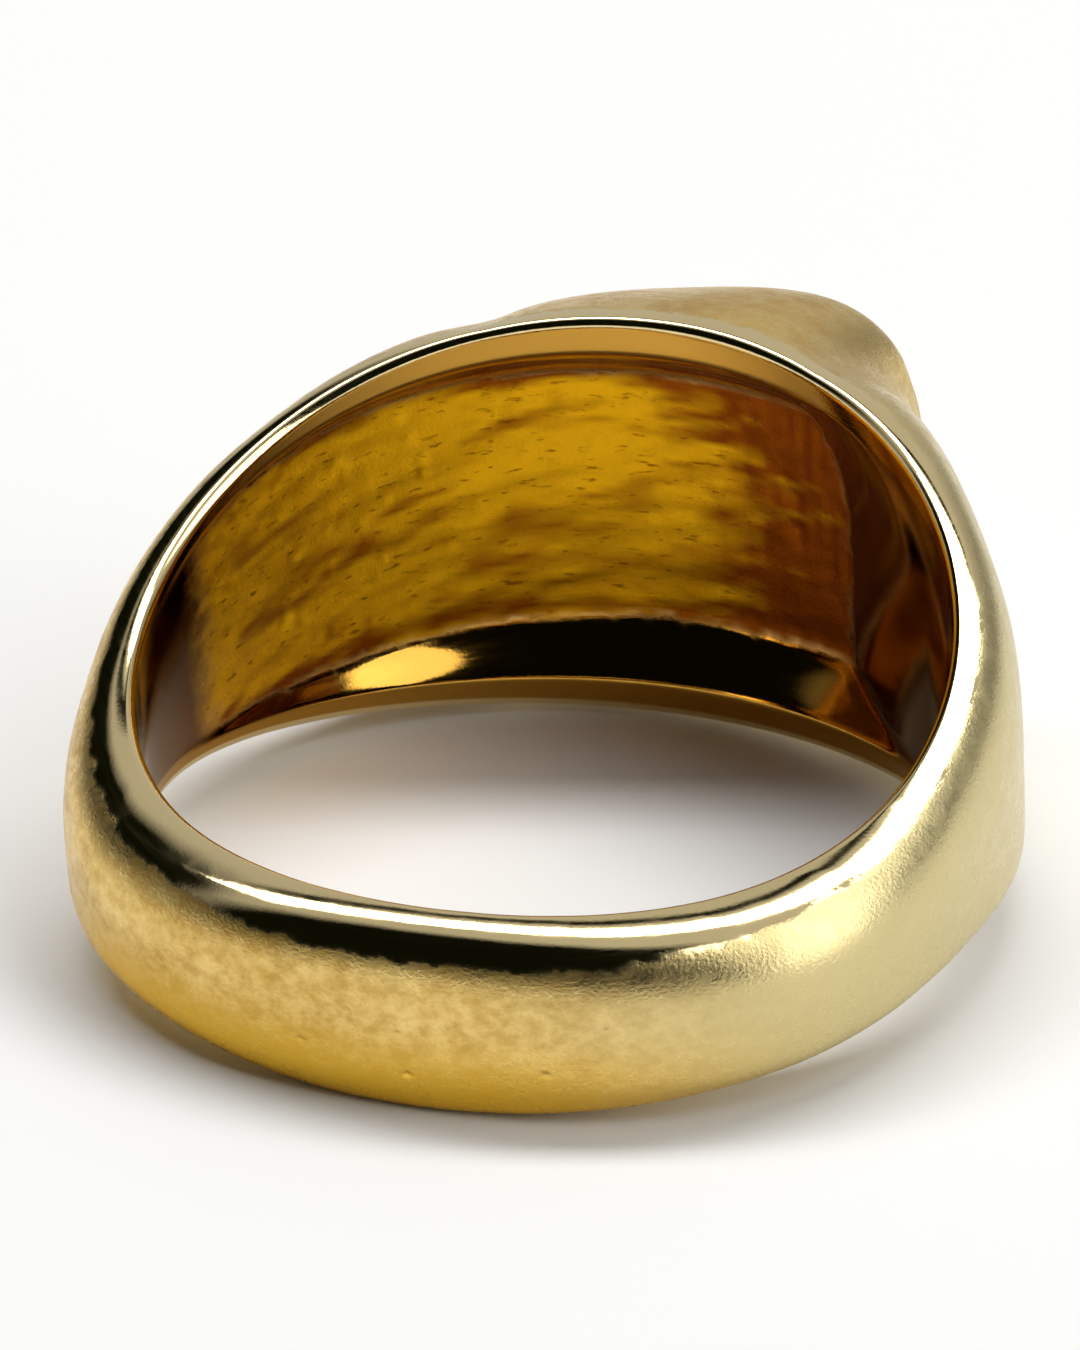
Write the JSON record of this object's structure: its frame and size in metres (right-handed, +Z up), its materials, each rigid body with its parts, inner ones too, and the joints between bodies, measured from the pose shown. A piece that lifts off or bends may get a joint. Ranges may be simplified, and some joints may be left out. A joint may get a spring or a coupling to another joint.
{
  "type": "signet ring",
  "caption": "Hollow-backed yellow gold signet ring with a flat rounded-oval table, tapering shoulders and a plain domed palm band soldered in.",
  "frame": {"origin": "on the surface the ring lies on, under the middle of its bounding box", "axes": "+Z up; the ring lies on its side, so the finger hole's axis leans 9.9 degrees from Z towards -Y; +Y from the palm band to the signet table; X across the finger"},
  "size_m": [0.022, 0.0252, 0.0115],
  "materials": {
    "cast_gold": "14 karat yellow gold, satin outside, polished at the hole's edges and lips, left rough as cast inside the hollow",
    "palm_gold": "14 karat yellow gold band stock, satin with fine casting pinholes, polished along the upper outer edge",
    "solder_gold": "gold solder filed flush, slightly paler than the gold beside it"
  },
  "bodies": {
    "root": {"signet_head": "cast_gold", "palm_shank": "palm_gold", "solder_seam_left": "solder_gold", "solder_seam_right": "solder_gold"}
  },
  "joints": []
}
